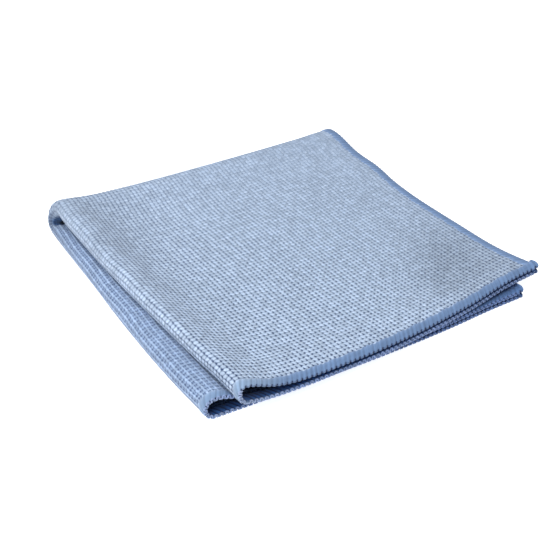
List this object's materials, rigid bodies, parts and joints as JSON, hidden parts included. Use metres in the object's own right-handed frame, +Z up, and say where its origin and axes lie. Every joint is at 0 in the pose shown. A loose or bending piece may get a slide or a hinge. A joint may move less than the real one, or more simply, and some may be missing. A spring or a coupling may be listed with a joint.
{
  "type": "folded microfibre cloth",
  "caption": "Square cleaning cloth of pearl-knit microfibre with an overlocked hem all round, folded in half both ways and lying flat on a surface.",
  "frame": {"origin": "Middle of the bounding box in plan, at the height of the surface the folded cloth lies on, so the cloth's flat underside is at z = 0.", "axes": "+Z is up, away from the surface. +X runs from the rolled side of the first fold to the hemmed side opposite it. +Y runs from the front hems to the second fold at the back."},
  "size_m": [0.2134, 0.2158, 0.0228],
  "materials": {
    "cloth": "light blue pearl knit of microfibre, matt with a soft sheen, with a smoother overlocked band of the same blue"
  },
  "bodies": {
    "root": {"cloth": "cloth"}
  },
  "joints": []
}
